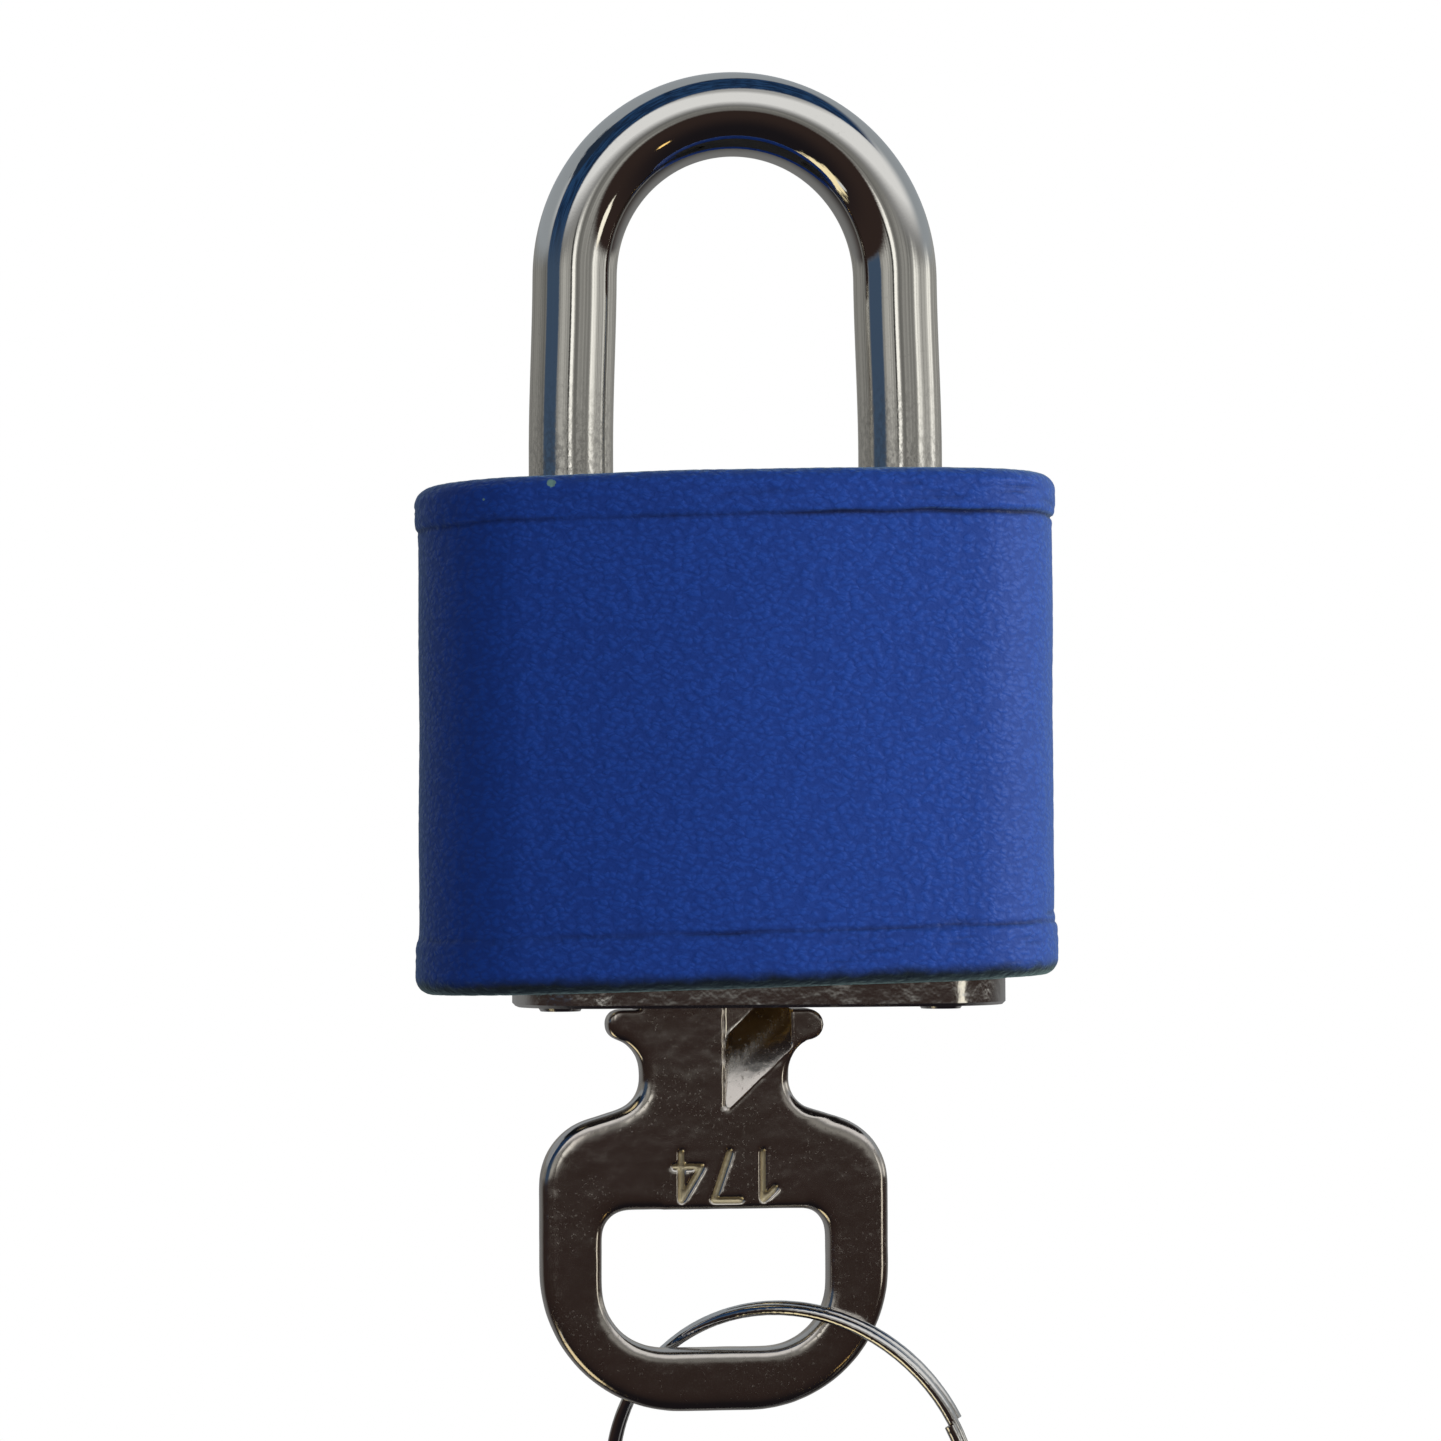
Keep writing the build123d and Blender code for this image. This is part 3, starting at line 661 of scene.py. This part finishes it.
def make_key(finish):
    """Tumbled key: edges rounded by wear, faces a little wavy, and the milled step run out in a slope."""
    mesh = remeshed("key", "worn_key", 0.082, 2)
    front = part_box("key")[0].y
    step_x, step_right, web = step_left * mm, 1.97 * mm, 0.85 * mm
    runout_low, runout_high = Vector((step_x, at(step_tip))), Vector((1.95 * mm, at(-2.4)))
    along = (runout_high - runout_low).normalized()
    into_step = Vector((-along.y, along.x))
    run, edge = 2.0 * mm, 0.16 * mm
    blade_low, blade_shrink, bow_shrink = at(-0.7), 0.03, 0.007

    def worn(point, normal):
        wave = noise.noise(point / (1.1 * mm)) + 0.5 * noise.noise(point / (0.45 * mm))
        shrink = blade_shrink if point.z > blade_low else bow_shrink * (1 + wave)
        moved = point - normal * (shrink * mm)
        away = (Vector((point.x, point.z)) - runout_low).dot(into_step)
        on_slope = step_x < point.x < step_right and -0.05 * mm < away < run
        if on_slope and front + 0.02 * mm < point.y < front + web * 1.06:
            share = max(0.0, away) / run
            moved.y = min(moved.y, front + web * share)
        beside = step_x - point.x
        if 0 <= beside < edge and point.z > at(-4.7) and point.y < front + 0.05 * mm:
            moved.y += 0.55 * (edge - beside) * (1 + 0.5 * noise.noise(point / (0.3 * mm)))
        return moved

    def on_bow(places):
        x, y, z = places.T
        number = (x > -3.0 * mm) & (x < 2.5 * mm) & (z > at(-8.7)) & (z < at(-6.0)) & (y < front + 0.35 * mm)
        milled = (x > step_x - 0.2 * mm) & (z > at(-5.1))
        return np.clip((at(-1.0) - z) / (0.5 * mm), 0, 1) * ~number * ~milled

    rounded(mesh, on_bow, 30)
    shift_vertices(mesh, worn)
    return dress(new_object("worn_key", mesh), "key", "key_nickel", finish, "key")


# ---- studio ----


def direction(azimuth, elevation):
    """Unit vector, where azimuth 0 is in front of the lock and 90 is on its right, both in degrees."""
    flat = cos(radians(elevation))
    return Vector((sin(radians(azimuth)) * flat, -cos(radians(azimuth)) * flat, sin(radians(elevation))))


def light_studio():
    """Room that the metal mirrors: bright strips, a dark table, blue cloth overhead and single lights."""
    world = bpy.data.worlds.new("studio")
    world.use_nodes = True
    bpy.context.scene.world = world
    shade = Shade(world.node_tree)
    way = shade.vector("NORMALIZE", shade.add("ShaderNodeTexCoord").outputs["Generated"])
    x, y, z = shade.axes(way)
    azimuth = shade.math("ARCTAN2", x, shade.times(y, -1.0))
    around = shade.plus(shade.math("DIVIDE", azimuth, 2 * pi), 0.5)
    rise = shade.math("ARCSINE", z)
    upwards = shade.plus(shade.math("DIVIDE", rise, pi), 0.5)

    def round_at(degrees_and_colours):
        return [((angle + 180) / 360, colour) for angle, colour in degrees_and_colours]

    def up_at(degrees_and_colours):
        return [((angle + 90) / 180, colour) for angle, colour in degrees_and_colours]

    strips = shade.ramp(around, round_at([
        (-180, 0.30), (-112, 0.29), (-90, 0.20), (-46, 0.42), (-24, 0.62), (-17, 0.45),
        (-14.5, 0.03), (-12, 0.03), (-10, 1.35), (-4, 1.2), (-1, 0.40), (4, 0.22),
        (12, 0.38), (31, 0.34), (43, 0.36), (47, 1.2), (56, 1.1), (62, 0.50),
        (84, 0.58), (92, 1.3), (101, 1.2), (108, 0.5), (140, 0.42), (180, 0.30),
    ]))
    streaks = shade.add("ShaderNodeTexNoise")
    shade.put(streaks.inputs["Vector"], shade.vector("MULTIPLY", way, (1, 1, 0.25)))
    streaks.inputs["Scale"].default_value = 16
    streaks.inputs["Detail"].default_value = 3
    dimmed = shade.mix(1.0, strips, tint(0.62), "MULTIPLY")
    strips = shade.mix(shade.spread(streaks.outputs["Fac"], 0.35, 0.65), strips, dimmed)
    strips = shade.mix(1.0, strips, tint((1.0, 0.985, 0.93)), "MULTIPLY")
    upper = shade.ramp(upwards, up_at([
        (0, 0.2), (12, 0.14), (18, 0.35), (27, 0.88), (50, 0.88), (58, 0.45), (90, 0.36),
    ]))
    front = shade.spread(shade.times(y, -1.0), -0.2, 0.35)
    ceiling = shade.mix(front, tint((0.34, 0.37, 0.40)), upper)
    room = shade.mix(shade.spread(z, 0.15, 0.30), strips, ceiling)
    table = shade.mix(shade.spread(z, -0.75, -0.15), tint((0.012, 0.010, 0.012)), tint((0.034, 0.022, 0.019)))
    table = shade.mix(shade.spread(y, 0.1, 0.8), table, tint(0.2))
    room = shade.mix(shade.spread(z, -0.02, 0.07), table, room)

    cloth_side = direction(-66, 8).cross(direction(6, 84)).normalized()
    off_cloth = shade.math("ABSOLUTE", shade.vector("DOT_PRODUCT", way, tuple(cloth_side)))
    along_cloth = shade.vector("DOT_PRODUCT", way, tuple(direction(-40, 58)))
    cloth = shade.times(shade.spread(off_cloth, 0.29, 0.37, 1.0, 0.0), shade.spread(along_cloth, 0.30, 0.45))
    folds = shade.spread(streaks.outputs["Fac"], 0.4, 0.6)
    folds = shade.mix(folds, tint((0.010, 0.024, 0.060)), tint((0.020, 0.060, 0.150)))
    folds = shade.mix(shade.spread(z, 0.1, 0.5), tint((0.055, 0.090, 0.150)), folds)
    cloth = shade.times(cloth, shade.spread(z, -0.02, 0.04))
    room = shade.mix(cloth, room, folds)

    for place, reach, colour in (
        (direction(34, -27), 0.05, (1.6, 1.05, 0.35)),
        (direction(-72, -47), 0.36, (1.20, 1.02, 0.62)),
        (direction(52, -5), 0.14, (1.25, 1.18, 1.0)),
        (direction(-60, -33), 0.08, (0.75, 0.76, 0.74)),
        (direction(-84, 50), 0.28, (0.018, 0.030, 0.055)),
    ):
        far = shade.vector("DISTANCE", way, tuple(place))
        ragged = shade.plus(far, shade.times(streaks.outputs["Fac"], reach))
        room = shade.mix(shade.spread(ragged, 1.1 * reach, 1.4 * reach, 1.0, 0.0), room, tint(colour))

    def background(colour):
        node = shade.add("ShaderNodeBackground")
        shade.put(node.inputs["Color"], colour)
        return node.outputs[0]

    def swapped(rays, usual, special):
        """The usual shader, with a special one for one kind of ray."""
        node = shade.add("ShaderNodeMixShader")
        for socket, given in zip(node.inputs, (rays, usual, special)):
            shade.put(socket, given)
        return node.outputs[0]

    from_right = shade.spread(shade.vector("DOT_PRODUCT", way, tuple(direction(75, 5))), -0.7, 1.0)
    level_light = shade.ramp(from_right, [(0, (0.07, 0.11, 0.20)), (0.5, 0.32), (1, 0.85)])
    fill = background(shade.mix(shade.spread(z, 0.2, 0.8), level_light, tint(0.12)))
    rays = shade.add("ShaderNodeLightPath").outputs
    indirect = swapped(rays["Is Diffuse Ray"], background(room), fill)
    seen = swapped(rays["Is Camera Ray"], indirect, background(tint(1.0)))
    output = shade.add("ShaderNodeOutputWorld")
    shade.put(output.inputs["Surface"], seen)


def soft_light(name, azimuth, elevation, distance, size, power, only_on=()):
    """Square soft light on the body: not mirrored in metal, or shining on some pieces only."""
    lamp = bpy.data.lights.new(name, "AREA")
    lamp.size = size
    lamp.energy = power
    holder = bpy.data.objects.new(name, lamp)
    bpy.context.scene.collection.objects.link(holder)
    middle = Vector((0, 0, at(10)))
    away = direction(azimuth, elevation)
    holder.location = middle + away * distance
    holder.rotation_mode = "QUATERNION"
    holder.rotation_quaternion = away.to_track_quat("Z", "Y")
    holder.visible_glossy = bool(only_on)
    if only_on:
        lamp.color = (1.0, 1.0, 0.74)
        lit_pieces = bpy.data.collections.new(name + "_receivers")
        for piece in only_on:
            lit_pieces.objects.link(piece)
        holder.light_linking.receiver_collection = lit_pieces


def make_floor():
    """Pale round table top well below the hanging lock."""
    middle = (0, 0, at(-118))
    bpy.ops.mesh.primitive_circle_add(vertices=128, radius=300 * mm, fill_type="NGON", location=middle)
    floor = bpy.context.object
    floor.name = "floor"
    made, shade, shader, place = surface("pale_floor")
    tone = shade.mix(shade.noise(place, 20.0, 3.0), tint(0.80), tint(0.86))
    shade.put(shader.inputs["Base Color"], tone)
    shader.inputs["Roughness"].default_value = 0.7
    shader.inputs["Emission Color"].default_value = tint(1.0)
    shader.inputs["Emission Strength"].default_value = 0.5
    floor.data.materials.append(made)
    floor.visible_glossy = False
    floor.visible_diffuse = False


def aim_camera():
    """Level view of the front from a little left and below the middle."""
    target = Vector((-0.66 * mm, 0, at(10.23)))
    away = direction(-6.6, -2.1)
    distance, roll, field = 164 * mm, radians(-0.25), 55.75 * mm
    lens = bpy.data.cameras.new("camera")
    lens.lens = lens.sensor_width * distance / field
    lens.clip_start = 5 * mm
    lens.clip_end = 5
    camera = bpy.data.objects.new("camera", lens)
    bpy.context.scene.collection.objects.link(camera)
    camera.location = target + away * distance
    camera.rotation_mode = "QUATERNION"
    camera.rotation_quaternion = away.to_track_quat("Z", "Y") @ Matrix.Rotation(roll, 3, "Z").to_quaternion()
    bpy.context.scene.camera = camera


leather = leather_finish()
nickel = plated_finish("bright_nickel", (0.74, 0.73, 0.71), roughness=0.13, wear=0.30, dents=0.035)
shackle_nickel = plated_finish(
    "shackle_nickel", (0.74, 0.73, 0.70), roughness=0.04, wear=0.24, pitted_below=21.5
)
key_plate = key_finish()
ring_steel = plated_finish("polished_wire", (0.70, 0.69, 0.67), roughness=0.06, wear=0.15)
brass = turned_finish("turned_brass", (0.70, 0.50, 0.20), roughness=0.28)
steel = turned_finish("drawn_steel", (0.52, 0.52, 0.53), roughness=0.30)
finishes = {
    "nickel": nickel,
    "key_nickel": key_plate,
    "ring_steel": ring_steel,
    "brass": brass,
    "spring_steel": steel,
}

slots = {part["node"]: part["material_slot"] for part in frame["record"]["subparts"]}
for name, node in frame["nodes"].items():
    if slots[name] in finishes:
        for index in range(len(node.material_slots)):
            node.material_slots[index].material = finishes[slots[name]]

cover = make_sleeve(leather)
make_top_panel(panel_finish())
make_shackle(shackle_nickel)
make_key(key_plate)

light_studio()
soft_light("key_light", azimuth=58, elevation=6, distance=0.35, size=0.22, power=0.42)
soft_light("sheen_light", azimuth=78, elevation=8, distance=0.30, size=0.16, power=0.30, only_on=[cover])
make_floor()
aim_camera()
bpy.context.scene.view_settings.view_transform = "Standard"
